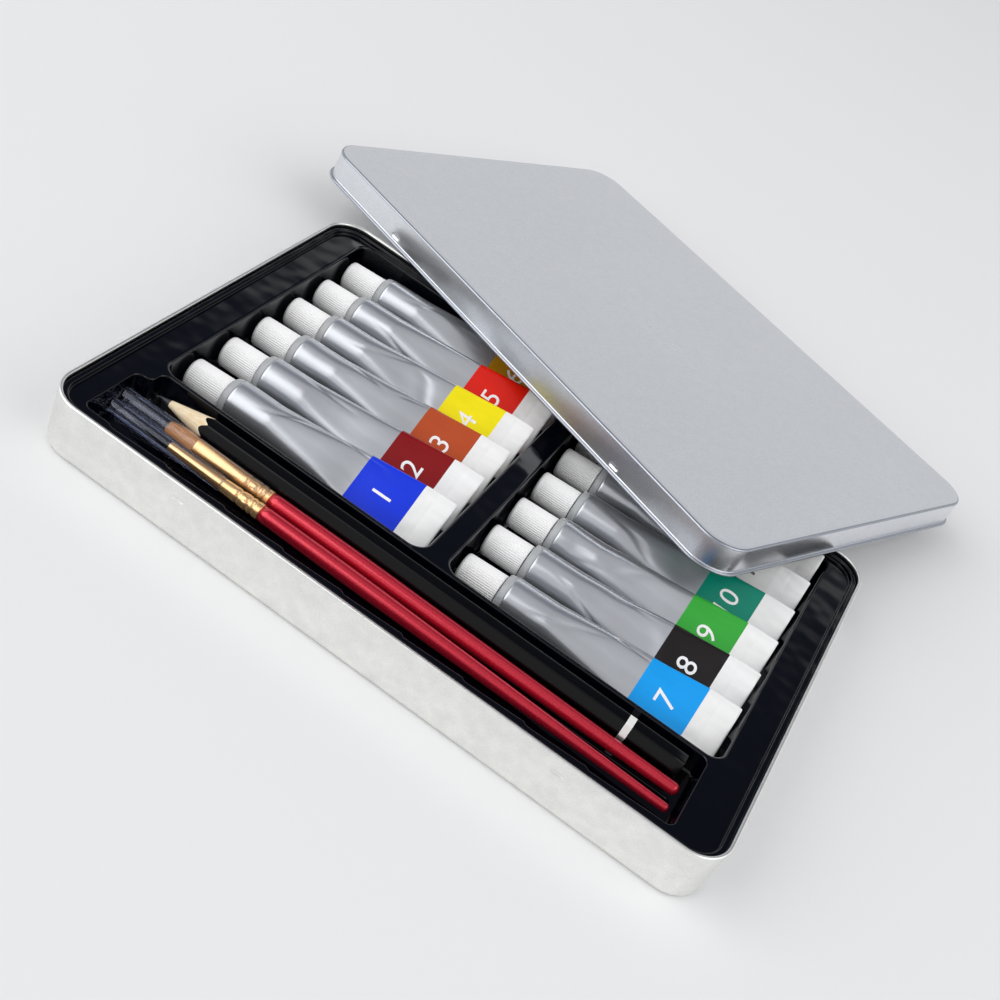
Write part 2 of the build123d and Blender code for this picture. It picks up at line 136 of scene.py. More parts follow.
def rounded_path(length, width, radius, dense=()):
    """Points round a rectangle with circular corners, anticlockwise, and their outward normals.

    dense gives places along X where both long sides get a point.
    """
    points, normals = [], []
    for quarter, (side_x, side_y) in enumerate(((1, 1), (-1, 1), (-1, -1), (1, -1))):
        angle = np.linspace(0, math.pi / 2, 17) + quarter * math.pi / 2
        out = np.stack([np.cos(angle), np.sin(angle)], 1)
        points.append([side_x * (length / 2 - radius), side_y * (width / 2 - radius)] + radius * out)
        normals.append(out)
        if quarter % 2 == 0 and len(dense):
            along = -side_y * np.sort(dense)
            points.append(np.stack([along, np.full(len(along), side_y * width / 2)], 1))
            normals.append(np.tile([0.0, side_y], (len(along), 1)))
    return np.concatenate(points), np.concatenate(normals)


def carried(path, normals, profile):
    """Grid of a profile of (inset, height) rows carried along a path: path less inset times normal."""
    inset, height = np.array(profile, float).T
    flat = path[None] - inset[:, None, None] * normals[None]
    tall = np.broadcast_to(height[:, None, None], (len(inset), len(path), 1))
    return np.concatenate([flat, tall], 2)


def arc(centre_x, centre_y, radius, start, stop, count=7):
    """Points on a circle, from one angle to another, in degrees."""
    angle = np.radians(np.linspace(start, stop, count))
    return list(zip(centre_x + radius * np.cos(angle), centre_y + radius * np.sin(angle)))


def shell(grid, ends=True):
    """Points and faces of a surface through a grid whose last column meets its first."""
    rows, columns = grid.shape[:2]
    here = np.arange(rows * columns).reshape(rows, columns)
    there = np.roll(here, -1, axis=1)
    quads = np.stack([here[:-1], there[:-1], there[1:], here[1:]], -1).reshape(-1, 4)
    lids = [here[0][::-1].tolist(), here[-1].tolist()] if ends else []
    return grid.reshape(-1, 3), quads.tolist() + lids


def piece(name, body, nodes, shells, finishes, place=Matrix.Identity(4)):
    """One object from shells of (points, faces, finish number): welded, smooth, faces outwards.

    place is a matrix in millimetres, and the points before it are kept as an attribute for the finish.
    """
    own = np.concatenate([each[0] for each in shells])
    turn = np.array(place)
    points = own @ turn[:3, :3].T + turn[:3, 3]
    faces, numbers, start = [], [], 0
    for shell_points, shell_faces, number in shells:
        faces += [[corner + start for corner in face] for face in shell_faces]
        numbers += [number] * len(shell_faces)
        start += len(shell_points)
    mesh = bpy.data.meshes.new(name)
    mesh.from_pydata((points * mm).tolist(), [], faces)
    mesh.polygons.foreach_set("material_index", numbers)
    store = mesh.attributes.new("along", "FLOAT_VECTOR", "POINT")
    store.data.foreach_set("vector", (own * mm).ravel())
    work = bmesh.new()
    work.from_mesh(mesh)
    bmesh.ops.remove_doubles(work, verts=work.verts, dist=2e-6)
    bmesh.ops.recalc_face_normals(work, faces=work.faces)
    work.to_mesh(mesh)
    work.free()
    mesh.polygons.foreach_set("use_smooth", [True] * len(mesh.polygons))
    for each in finishes:
        mesh.materials.append(each)
    made = bpy.data.objects.new(name, mesh)
    bpy.context.scene.collection.objects.link(made)
    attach(made, body)
    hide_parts(*nodes)
    return made


def pressed(grid, wall_y, drop_z):
    """Pushes the long walls in at the dimples: a ball's cap, drawn out along X into a capsule."""
    beside = np.maximum(np.abs(np.abs(grid[..., 0]) - dimple_x) - dimple_half, 0)
    reach = np.hypot(beside, grid[..., 2] - drop_z)
    cap = np.sqrt(np.maximum(dimple_radius ** 2 - reach ** 2, 0)) - (dimple_radius - dimple_depth)
    push = np.maximum(cap, 0) * (np.abs(grid[..., 1]) > wall_y - 1.0)
    grid[..., 1] -= np.sign(grid[..., 1]) * push
    return grid


def satin_tinplate(name, dark, light, roughness, mottled):
    """Tinplate with a satin lacquer: a soft grey mirror with a fine, even grain.

    mottled is the share of a slow mottle, against the fine grain, in its tint.
    """
    material, tree, shader = finish("tinplate_" + name, {"Metallic": 1.0})
    place = add(tree, "TexCoord", {}).outputs["Object"]
    grain_size = 0.45 * mm     # drawn coarser than the real grain, so that it shows
    mottle_size = 4 * mm
    cloud_size = 60 * mm
    grain = add(tree, "TexNoise", {"Vector": place, "Scale": 1 / grain_size, "Detail": 3.0})
    mottle = add(tree, "TexNoise", {"Vector": place, "Scale": 1 / mottle_size, "Detail": 3.0})
    cloud = add(tree, "TexNoise", {"Vector": place, "Scale": 1 / cloud_size, "Detail": 2.0})
    both = add(tree, "Mix", {"Factor": mottled, "A": grain, "B": mottle})
    share = add(tree, "MapRange", {"Value": both, "From Min": 0.35, "From Max": 0.65})
    tint = add(tree, "Mix", {"Factor": share, "A": linear(dark), "B": linear(light)}, data_type="RGBA")
    feed(shader, {
        "Base Color": tint.outputs[2],
        "Roughness": add(tree, "MapRange", {"Value": cloud, "From Min": 0.3, "From Max": 0.7,
                                            "To Min": roughness, "To Max": roughness + 0.03}),
        "Normal": add(tree, "Bump", {"Height": grain, "Strength": 0.10, "Distance": 0.05 * mm})})
    return material


base_tinplate = satin_tinplate("satin", "#E6E7E4", "#F7F7F3", 0.33, 0.45)
dimple_span, dimple_tall = (np.linspace(-reach, reach, count) for reach, count in zip(dimple_grid, (25, 13)))
dimple_points = np.concatenate([side * dimple_x + dimple_span for side in (-1, 1)])
tin_path, tin_normals = rounded_path(tin_length, tin_width, tin_corner, dimple_points)
dimple_rows = [(0, z) for z in tin_height - dimple_drop + dimple_tall]
bead_r = bead / 2
tin_profile = [(foot_round + flat_ring, 0), *arc(foot_round, foot_round, foot_round, 270, 180),
               (0, wall_rows[0]), *dimple_rows, (0, wall_rows[1]),
               *arc(bead_r, tin_height - bead_r, bead_r, 180, -90, 17), (sheet, tin_height - bead - bead_nip),
               *[(sheet, z) for _, z in dimple_rows[::-1]], (sheet, wall_rows[0]),
               *arc(foot_round, foot_round, foot_round - sheet, 180, 270), (foot_round + flat_ring, sheet)]
tin_grid = pressed(carried(tin_path, tin_normals, tin_profile), tin_width / 2, tin_height - dimple_drop)
piece("base_pan", "tin", ["tin_base"], [(*shell(tin_grid), 0)], [base_tinplate])

# ---------------------------------------------------------------- lid
# A drawn lid of the same tinplate, with a crisp crease, a plain skirt and an
# edge rolled outwards. Its tint is painted a little cooler and darker than the
# base's, a painted reflection, and darker still on the crease and the roll, a
# painted shade that dims their highlights there; these bends are also a little
# rougher. It lies askew, with its skirt on the tin's far rim and one corner on
# the table.
lid_slack = 0.3
lid_skirt = 10.3
lid_crease = 0.7
lid_bead = 0.5             # radius of the rolled edge
roll_nip = 0.12            # the sheet is pinched in this far where the roll begins
edge_round = 0.2
lid_dimple_drop = 7.6
lid_yaw = math.radians(-24.1)
lid_reach = 163.0
lid_shift = -1.1
rest_gap = 0.3
lid_length = tin_length + 2 * (lid_slack + sheet)
lid_width = tin_width + 2 * (lid_slack + sheet)
lid_corner = tin_corner + lid_slack + sheet
lid_tilt = math.atan((tin_height + rest_gap) / lid_reach)
straight_x, straight_y = lid_length / 2 - lid_corner, lid_width / 2 - lid_corner
lid_foot = straight_x * math.sin(-lid_yaw) + straight_y * math.cos(lid_yaw) + lid_corner + 2 * lid_bead
lid_y = tin_width / 2 + lid_reach - lid_foot * math.cos(lid_tilt) + lid_skirt * math.sin(lid_tilt)
lid_z = lid_foot * math.sin(lid_tilt) + lid_skirt * math.cos(lid_tilt)
lid_place = (Matrix.Translation((lid_shift, lid_y, lid_z)) @ Matrix.Rotation(-lid_tilt, 4, "X")
             @ Matrix.Rotation(lid_yaw, 4, "Z"))
lid_path, lid_normals = rounded_path(lid_length, lid_width, lid_corner, dimple_points)
lid_rows = [(0, z) for z in -lid_dimple_drop + dimple_tall[::-1]]
roll_root = -lid_skirt + 2 * lid_bead
lid_profile = [(lid_crease + flat_ring, 0), *arc(lid_crease, -lid_crease, lid_crease, 90, 180), *lid_rows,
               (0, roll_root + 0.05), (-roll_nip, roll_root - 0.02),
               *arc(-lid_bead, -lid_skirt + lid_bead, lid_bead, 60, 180, 7),
               *arc(-lid_bead, -lid_skirt + lid_bead, lid_bead, 200, 270, 5),
               (sheet - edge_round, -lid_skirt), (sheet, -lid_skirt + edge_round),
               *[(sheet, z) for _, z in lid_rows[::-1]],
               *arc(lid_crease, -lid_crease, lid_crease - sheet, 180, 90, 4),
               (lid_crease + flat_ring, -sheet)]
lid_grid = pressed(carried(lid_path, lid_normals, lid_profile), lid_width / 2, -lid_dimple_drop)
lid_points, lid_faces = shell(lid_grid)
# The rows at the crease and the roll, and their faces, take the darker second finish: a painted shade.
painted_shade_rows = (*range(1, 7), *range(21, 36))     # the profile's rows at the crease and the roll
bent = [face for k, face in enumerate(lid_faces) if k // len(lid_path) in painted_shade_rows]
plain = [face for k, face in enumerate(lid_faces) if k // len(lid_path) not in painted_shade_rows]
# The first finish paints the lid cooler and darker than the base, a painted bluish reflection; the second
# paints the crease and the roll darker still, a painted shade that dims their highlights.
lid_finishes = [satin_tinplate("cool_painted_reflection", "#DCDFE4", "#ECEEF1", 0.27, 0.15),
                satin_tinplate("bent", "#A2A6AE", "#B2B6BE", 0.3, 0.15)]
piece("lid_pan", "lid", ["tin_lid"], [(lid_points, plain, 0), (lid_points, bent, 1)],
      lid_finishes, lid_place)

# ---------------------------------------------------------------- tray
# One sheet of glossy black polystyrene, drawn over a mould by vacuum, so its
# walls lean, its edges are soft and its flats are never quite flat.
tray_low, tray_high = (np.array(corner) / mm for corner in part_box("tray"))
tray_length, tray_width = (tray_high - tray_low)[:2]
lip_top = tray_high[2]
tray_sheet = 0.5
tube_floor = tray_low[2] + tray_sheet
tray_corner = tin_corner - 0.8
lip_width = 2.2
lip_round = 0.5
lip_groove = 0.35          # round where the lip meets the ledge
lip_skirt = 2.4            # height of the lip's lower edge
ledge = lip_top - 1.6
brush_floor = ledge - 7.7
lean = math.tan(math.radians(4))
tube_well = {"far": 75.15, "near": -40.5, "long": 93.3, "band": 7.8}
brush_well = {"left": -100.3, "right": 94.0, "near": -71.8, "far": -42.5, "pencil_left": -95.3, "step": -48.5}
tube_edge = 1.0            # soft edges and foot rounds of the wells
brush_edge = 0.5
well_foot = 1.0
well_corner = {"tube": 5.0, "brush": 2.4}
jog_start = 9.0            # small steps in the near wall, counted from the well's left end
jog_count = 9
jog_pitch = 19.8
jog_depth = 0.9
jog_rise = 0.07            # share of the pitch
jog_fade = (1.5, 3.5)      # above the floor
rib_start = -40.3          # two low ridges between the brushes and the pencil
rib_length = 131.3
rib_places = (-57.7, -51.7)
rib_half = 0.45
rib_height = 1.3
rib_rise = ((0, 0.1), (0.4, 0.6), (1.2, 0.9), (3, 1))     # from an end, share of the height


def outline(corners, radius, spacing=1.5):
    """Closed outline through corner points, each rounded by an arc, with its outward normals.

    The points run anticlockwise; straight stretches are divided at about the spacing.
    """
    points, normals = [], []
    corners = np.array(corners, float)
    before = np.roll(corners, 1, axis=0)
    after = np.roll(corners, -1, axis=0)
    for corner, last, following in zip(corners, before, after):
        back = (last - corner) / np.linalg.norm(last - corner)
        ahead = (following - corner) / np.linalg.norm(following - corner)
        cross = back[0] * ahead[1] - back[1] * ahead[0]
        reach = radius / math.tan(math.acos(np.clip(back @ ahead, -1, 1)) / 2)
        middle = (back + ahead) / np.linalg.norm(back + ahead)
        centre = corner + middle * math.hypot(reach, radius)
        first = math.atan2(*(corner + back * reach - centre)[::-1])
        last_angle = math.atan2(*(corner + ahead * reach - centre)[::-1])
        sweep = (last_angle - first + math.pi) % (2 * math.pi) - math.pi
        angle = first + np.linspace(0, sweep, 13)
        spoke = np.stack([np.cos(angle), np.sin(angle)], 1)
        points.append(centre + radius * spoke)
        normals.append(spoke if cross < 0 else -spoke)
    run_points, run_normals = [], []
    for k, (run, side) in enumerate(zip(points, normals)):
        start, stop = run[-1], points[(k + 1) % len(points)][0]
        count = max(int(np.linalg.norm(stop - start) / spacing), 1)
        share = np.linspace(0, 1, count + 1)[1:-1, None]
        run_points += [run, start + share * (stop - start)]
        run_normals += [side, np.repeat(side[-1:], len(share), axis=0)]
    return np.concatenate(run_points), np.concatenate(run_normals)


def well_profile(floor, edge, foot):
    """Rows from the flat ledge over a soft edge, down a leaning wall and round onto the floor."""
    depth = ledge - floor
    rows = [(-edge - 0.4, ledge), (-edge - 0.1, ledge), *arc(-edge, ledge - edge, edge, 90, 0, 7)]
    rows += [((z_drop - edge) * lean, ledge - z_drop) for z_drop in np.linspace(edge, depth - foot, 8)[1:]]
    wall_end = (depth - foot - edge) * lean
    rows += arc(wall_end + foot, floor + foot, foot, 180, 270, 7)[1:]
    rows += [(wall_end + foot + 0.5, floor)]
    return rows


def ledge_plate(rings):
    """Flat plate between an outer ring and the rings of its holes, in whole triangles."""
    work = bmesh.new()
    for ring in rings:
        corners = [work.verts.new((x, y, ledge)) for x, y in ring]
        for k, corner in enumerate(corners):
            work.edges.new((corner, corners[(k + 1) % len(corners)]))
    bmesh.ops.triangle_fill(work, edges=work.edges, use_beauty=True)
    work.verts.index_update()
    plate_points = np.array([corner.co for corner in work.verts])
    plate_faces = [[corner.index for corner in face.verts] for face in work.faces]
    work.free()
    return plate_points, plate_faces


def black_styrene():
    """Vacuum-formed polystyrene, glossy black: sharp highlights bent by a slow unevenness of the sheet."""
    material, tree, shader = finish("polystyrene_black_formed", {
        "Base Color": linear("#02030A"), "Roughness": 0.1, "Specular IOR Level": 0.4})
    place = add(tree, "TexCoord", {}).outputs["Object"]
    slow = add(tree, "TexNoise", {"Vector": place, "Scale": 1 / (11 * mm), "Detail": 1.0})
    feed(shader, {"Normal": add(tree, "Bump", {"Height": slow, "Strength": 0.6, "Distance": 0.6 * mm})})
    return material


half_band = tube_well["band"] / 2
well_grids = []
for left, right in ((-half_band - tube_well["long"], -half_band), (half_band, half_band + tube_well["long"])):
    tube_corners = [(left, tube_well["near"]), (right, tube_well["near"]), (right, tube_well["far"]),
                    (left, tube_well["far"])]
    well_grids.append(carried(*outline(tube_corners, well_corner["tube"], 6),
                              well_profile(tube_floor, tube_edge, well_foot)))
brush_corners = [(brush_well["left"], brush_well["near"]), (brush_well["right"], brush_well["near"]),
                 (brush_well["right"], brush_well["far"]), (brush_well["pencil_left"], brush_well["far"]),
                 (brush_well["pencil_left"], brush_well["step"]), (brush_well["left"], brush_well["step"])]
brush_grid = carried(*outline(brush_corners, well_corner["brush"], 0.7),
                     well_profile(brush_floor, brush_edge, well_foot))
# The small steps: each drifts back over its pitch, and all fade towards the floor.
run = (brush_grid[..., 0] - brush_well["left"] - jog_start) / jog_pitch
share = run % 1.0
steps = smooth(0.0, jog_rise, share) * (1 - share) ** 0.8
steps *= (run > 0) & (run < jog_count) & (brush_grid[..., 1] < brush_well["near"] + 2)
fading = smooth(brush_floor + jog_fade[0], brush_floor + jog_fade[1], brush_grid[..., 2])
brush_grid[..., 1] -= jog_depth * steps * fading
well_grids.append(brush_grid)
tray_shells, plate_rings = [], []
for well_grid in well_grids:
    tray_shells.append((*shell(well_grid, ends=False), 0))
    tray_shells.append((well_grid[-1], [list(range(well_grid.shape[1]))], 0))
    plate_rings.append(well_grid[0, :, :2])

rise_run, rise_share = np.array(rib_rise, float).T
rib_x = np.concatenate([rise_run, rib_length - rise_run[::-1]])
rib_tall = np.concatenate([rise_share, rise_share[::-1]]) * rib_height
rib_side = np.radians(np.linspace(0, 180, 13))
for rib_y in rib_places:
    section = np.stack([rib_y + rib_half * np.cos(rib_side), np.sin(rib_side) ** 0.5], -1)
    rib = np.empty((len(rib_x), len(rib_side), 3))
    rib[..., 0] = rib_start + rib_x[:, None]
    rib[..., 1] = section[:, 0]
    rib[..., 2] = brush_floor - 0.1 + (rib_tall[:, None] + 0.1) * section[:, 1]
    tray_shells.append((*shell(rib), 0))

lip_path, lip_normals = rounded_path(tray_length, tray_width, tray_corner)
lip_profile = [(0, lip_skirt), *arc(lip_round, lip_top - lip_round, lip_round, 180, 90, 5),
               *arc(lip_width - lip_round, lip_top - lip_round, lip_round, 90, 0, 5),
               *arc(lip_width + lip_groove, ledge + lip_groove, lip_groove, 180, 270, 4),
               (lip_width + 0.5, ledge)]
lip_grid = carried(lip_path, lip_normals, lip_profile)
tray_shells.append((*shell(lip_grid, ends=False), 0))
plate_rings.insert(0, lip_grid[-1, :, :2])
tray_shells.append((*ledge_plate(plate_rings), 0))
piece("formed_tray", "tin", ["tray"], tray_shells, [black_styrene()])

# ---------------------------------------------------------------- paint tubes
# Twelve small tubes of aluminium laminate on moulded shoulders. Each is round
# at the shoulder, flattens in a wedge, and is folded and crimped at the tail.
tube_radius = 7.0
shoulder_start = 13.9      # from the cap's closed end
body_start = 16.3
wedge_start = 30.3
crimp_start = 81.8
tube_end = 90.0
crimp_half = 0.45          # half thickness of the folded tail
band_start = 61.0
band_end = 79.2
tail_tilt = math.radians(36)
crimp_rows = ((82.2, 0.45), (83.4, 0.44), (83.7, 0.38), (84.0, 0.44), (86.5, 0.45), (88.8, 0.44),
              (89.5, 0.38), (89.9, 0.22), (tube_end, 0.03))   # along the tube, half thickness
front_rows = ((0, 0.25), (0.08, 0.08), (0.25, 0))     # from the body's start, less than the radius
dent_count = 7
dent_least = (24, 5, -0.6, 0.12)     # place along the tube, width, facing in radians, depth
dent_most = (72, 12, 3.7, 0.5)
crease_runs = ((36, 10), (58, 9))    # middle along the tube, half length
crease_depth = 0.24
crinkle_depth = (0.10, 0.20)
paint_colours = {"left": ("#0A38E6", "#8A0008", "#BE4E22", "#FFEE00", "#E81C06", "#C08A10"),
                 "right": ("#00A4FA", "#140E0E", "#38AE3C", "#008C74", "#F4F4F2", "#5A3320")}
laminate = 0.25            # wall of the tube
number_height = 6.5        # plain numbers, one to twelve, on the colour bands
tubes_per_row = 6


def tube_skin(draw):
    """Grid of a tube's body: a stadium section of constant girth that thins in a straight wedge.

    Half thickness b falls from the radius to the crimp; the sides move out by pi (radius - b) / 2.
    Dents push the wall in by a few tenths, as bell-shaped hollows and slanting creases, and the
    tail crinkles in slow waves.
    """
    crimp, front = np.array(crimp_rows), np.array(front_rows)
    x = np.concatenate([body_start + front[:, 0], np.linspace(body_start + 0.9, wedge_start, 12),
                        np.linspace(wedge_start, crimp_start, 68)[1:], crimp[:, 0]])
    share = np.clip((x - wedge_start) / (crimp_start - wedge_start), 0, 1)
    half = tube_radius + (crimp_half - tube_radius) * share
    half[:len(front)] -= front[:, 1]
    half[-len(crimp):] = crimp[:, 1]
    spread = math.pi / 2 * (tube_radius - crimp_half) * share
    step = np.linspace(0, 2 * math.pi, 128, endpoint=False)
    angle = step + 0.36 * np.sin(2 * step)
    across = np.cos(angle)
    x, half, spread = (each[:, None] for each in (x, half, spread))
    y = half * across + spread * across / np.hypot(across, 0.13)
    z = half * np.sin(angle)
    dent = np.zeros_like(y)
    for _ in range(dent_count):
        at, wide, facing, deep = draw.uniform(dent_least, dent_most)
        apart = (angle - facing + math.pi) % (2 * math.pi) - math.pi
        dent += deep * np.exp(-((x - at) / wide) ** 2 - (apart / 0.45) ** 2)
    for at, run in crease_runs:
        crease = draw.uniform(0.8, 2.3) + (x - at) * draw.uniform(0.03, 0.05) * draw.choice((-1, 1))
        dent += crease_depth * np.exp(-((angle - crease) / 0.12) ** 2 - ((x - at) / run) ** 4)
    dent *= smooth(0.6, 3.5, half) * smooth(17.5, 23, x)
    y -= dent * np.cos(angle)
    z -= dent * np.sin(angle)
    crinkle = smooth(77, 84, x) * draw.uniform(*crinkle_depth)
    first, second, third = draw.uniform(0, 6, 3)
    z += crinkle * (np.sin(y * 0.7 + first) + 0.5 * np.sin(y * 1.5 + second + x * 0.5)
                    + 0.35 * np.sin(x * 1.3 + third - y * 0.9))
    return np.stack([np.broadcast_to(x, y.shape), y, z], -1)


def moved_in(grid, wall):
    """The grid moved inwards by a wall: each point less the wall times the section's outward normal."""
    along_section = np.roll(grid, -1, axis=1) - np.roll(grid, 1, axis=1)
    outward = np.cross(along_section, (1.0, 0, 0))
    outward /= np.maximum(np.linalg.norm(outward, axis=-1, keepdims=True), 1e-9)
    return grid - wall * outward


def turned(profile, columns=64, ripple=None):
    """Grid of an (along, radius) profile turned about X.

    ripple takes the angle and the distance along, and gives a change of radius.
    """
    along, radius = np.array(profile, float).T[:, :, None]
    angle = np.linspace(0, 2 * math.pi, columns, endpoint=False)
    if ripple is not None:
        radius = radius + ripple(angle, along)
    return np.stack([np.broadcast_to(along, (len(along), columns)), radius * np.cos(angle),
                     radius * np.sin(angle)], -1)


def local_spot(tree):
    """The piece's own coordinates, in metres, as they were before it was put in its place."""
    return add(tree, "Attribute", {}, attribute_name="along").outputs["Vector"]


def tube_laminate(code):
    """Lacquered aluminium laminate: grey and softly shiny, printed with a colour band and a white tail."""
    material, tree, shader = finish("laminate_printed_" + code[1:], {
        "Coat Weight": 0.1, "Coat Roughness": 0.12, "Specular IOR Level": 0.3})
    spot = local_spot(tree)
    along = add(tree, "SeparateXYZ", {"Vector": spot}).outputs["X"]
    printed, in_tail = (add(tree, "Math", {0: along, 1: edge * mm}, operation="GREATER_THAN")
                        for edge in (band_start, band_end))
    front = add(tree, "Mix", {"Factor": printed, "A": linear("#C9CCD1"), "B": linear(code)}, data_type="RGBA")
    whole = add(tree, "Mix", {"Factor": in_tail, "A": front.outputs[2], "B": linear("#FBFBFA")},
                data_type="RGBA")
    stretched = add(tree, "Mapping", {"Vector": spot, "Scale": (45, 260, 260)})
    smear = add(tree, "TexNoise", {"Vector": stretched, "Scale": 1.0, "Detail": 2.0})
    worn = add(tree, "MapRange", {"Value": smear, "From Min": 0.3, "From Max": 0.75,
                                  "To Min": 0.92, "To Max": 1.03})
    feed(shader, {
        "Base Color": add(tree, "VectorMath", {0: whole.outputs[2], 1: worn}, operation="MULTIPLY"),
        "Metallic": add(tree, "MapRange", {"Value": printed, "To Min": 0.8, "To Max": 0.0}),
        "Roughness": add(tree, "MapRange", {"Value": smear, "To Min": 0.26, "To Max": 0.34}),
        "Normal": add(tree, "Bump", {"Height": smear, "Strength": 0.35, "Distance": 0.25 * mm})})
    return material


def wet_paint(code):
    """Watercolour paint in the tube: thick, smooth and wet."""
    material, tree, shader = finish("paint_wet_" + code[1:], {"Base Color": linear(code), "Roughness": 0.25})
    swirl = add(tree, "TexNoise", {"Vector": local_spot(tree), "Scale": 1 / (4 * mm), "Detail": 1.0})
    feed(shader, {"Normal": add(tree, "Bump", {"Height": swirl, "Strength": 0.2, "Distance": 0.3 * mm})})
    return material


def milky_plastic():
    """Moulded natural polyethylene: whitish, waxy and a little see-through."""
    material, _, _ = finish("polyethylene_natural", {
        "Base Color": linear("#CDD0D2"), "Roughness": 0.30, "Transmission Weight": 0.3, "IOR": 1.5})
    return material


def numeral(text, tall):
    """Flat points and faces of a number in plain type, upright along -X and centred at the origin."""
    letters = bpy.data.curves.new("numeral", "FONT")
    letters.body = text
    letters.size = tall / 0.7
    letters.align_x = "CENTER"
    letters.resolution_u = 4
    holder = bpy.data.objects.new("numeral", letters)
    flat = holder.to_mesh()
    spots = np.array([corner.co for corner in flat.vertices])
    faces = [list(face.vertices) for face in flat.polygons]
    holder.to_mesh_clear()
    bpy.data.objects.remove(holder)
    bpy.data.curves.remove(letters)
    return np.stack([tall / 2 - spots[:, 1], spots[:, 0], np.zeros(len(spots))], -1), faces


def laid_on(skin, points, above):
    """Points raised to the skin's upper side: height read from its rows across, then between rows."""
    upper = skin[:, :skin.shape[1] // 2 + 1][:, ::-1]
    rows = upper[:, 0, 0]
    heights = np.stack([np.interp(points[:, 1], row[:, 1], row[:, 2]) for row in upper])
    after = np.clip(np.searchsorted(rows, points[:, 0]), 1, len(rows) - 1)
    share = (points[:, 0] - rows[after - 1]) / (rows[after] - rows[after - 1])
    each = np.arange(len(points))
    points[:, 2] = heights[after - 1, each] * (1 - share) + heights[after, each] * share + above
    return points


def print_ink(name, code):
    """Printing ink, matt and opaque, for the plain numbers on the colour bands."""
    return finish("ink_" + name, {"Base Color": linear(code), "Roughness": 0.5})[0]


white_ink, grey_ink = print_ink("white", "#FFFFFF"), print_ink("grey", "#6A6C70")
shoulder_plastic = milky_plastic()
nozzle_mouth = 3.0
shoulder_profile = [(nozzle_mouth, 1.6), (nozzle_mouth, 3.3), (shoulder_start, 3.4), (shoulder_start, 6.0),
                    (shoulder_start + 0.15, 6.35), (shoulder_start + 0.5, 6.6), (body_start - 0.5, 6.82),
                    (body_start, 6.85), (body_start + 0.2, 6.5)]
tube_places = {}
for row_name, colours in paint_colours.items():
    for number, code in enumerate(colours, 1):
        name = f"{row_name}_{number}"
        turn = joint[f"cap_{name}_turn"]
        slope = math.asin(-turn["axis"][2])
        tube_places[name] = (Matrix.Translation([each / mm for each in turn["pos_m"]])
                             @ Matrix.Rotation(-slope, 4, "Y") @ Matrix.Rotation(tail_tilt, 4, "X"))
        draw = np.random.default_rng(number + 20 * (row_name == "right"))
        skin = tube_skin(draw)
        spots, number_faces = numeral(str(number + tubes_per_row * (row_name == "right")), number_height)
        spots = laid_on(skin, spots + ((band_start + band_end) / 2, 0, 0), 0.03)
        shells = [(*shell(skin), 0), (*shell(turned(shoulder_profile)), 1), (spots, number_faces, 2)]
        ink = grey_ink if name == "right_5" else white_ink
        piece(f"tube_body_{name}", f"tube_{name}_body", [f"tube_{name}"], shells,
              [tube_laminate(code), shoulder_plastic, ink], tube_places[name])
        filled = moved_in(skin[4:-len(crimp_rows) - 2], laminate)
        mouth = turned([(nozzle_mouth + 0.1, 1.5), (wedge_start, 1.5)], 24)
        piece(f"paint_fill_{name}", f"tube_{name}_body", [f"paint_{name}"],
              [(*shell(filled), 0), (*shell(mouth), 0)], [wet_paint(code)], tube_places[name])

# ---------------------------------------------------------------- caps
# White moulded polypropylene screw caps, slightly wider at the mouth, with
# fine grip ribs that stop short of the rounded closed end.
cap_length = 13.5
cap_end_radius = 5.2
cap_mouth_radius = 5.45
cap_round = 1.0
cap_bore = 3.45
cap_bore_end = 2.6
rib_count = 48
rib_depth = 0.22


def cap_ribs(angle, along):
    """Rounded grooves round the cap: depth times the squared sine of half the rib angle."""
    reach = smooth(1.0, 2.0, along) * (1 - smooth(cap_length - 0.5, cap_length - 0.2, along))
    return -rib_depth * reach * np.sin(rib_count / 2 * angle) ** 2 * (along > 0)


def white_polypropylene():
    """Moulded polypropylene: opaque white with a soft, slightly waxy shine."""
    material, tree, shader = finish("polypropylene_white", {
        "Base Color": linear("#FAFAF9"), "Roughness": 0.42, "IOR": 1.49})
    place = add(tree, "TexCoord", {}).outputs["Object"]
    fine = add(tree, "TexNoise", {"Vector": place, "Scale": 1 / (0.6 * mm), "Detail": 2.0})
    feed(shader, {"Normal": add(tree, "Bump", {"Height": fine, "Strength": 0.08, "Distance": 0.05 * mm})})
    return material


cap_slope = (cap_mouth_radius - cap_end_radius) / cap_length
side_rows = [(x, cap_end_radius + cap_slope * x) for x in (1.0, 1.3, 1.6, 2.0, 5, 9, 12.9, 13.1, 13.3)]
cap_profile = [(0, 0.02), (0, 3.2), *arc(cap_round, cap_end_radius - cap_round + 0.02, cap_round, 180, 90),
               *side_rows, (13.45, cap_mouth_radius - 0.08), (cap_length, cap_mouth_radius - 0.25),
               (cap_length, cap_bore + 0.3), (cap_length - 0.3, cap_bore), (cap_bore_end, cap_bore),
               (cap_bore_end, 0.02)]
cap_shell, cap_white = (*shell(turned(cap_profile, rib_count * 6, cap_ribs)), 0), white_polypropylene()
for name, place in tube_places.items():
    piece(f"screw_cap_{name}", f"cap_{name}_body", [f"cap_{name}"], [cap_shell],
          [cap_white], place)

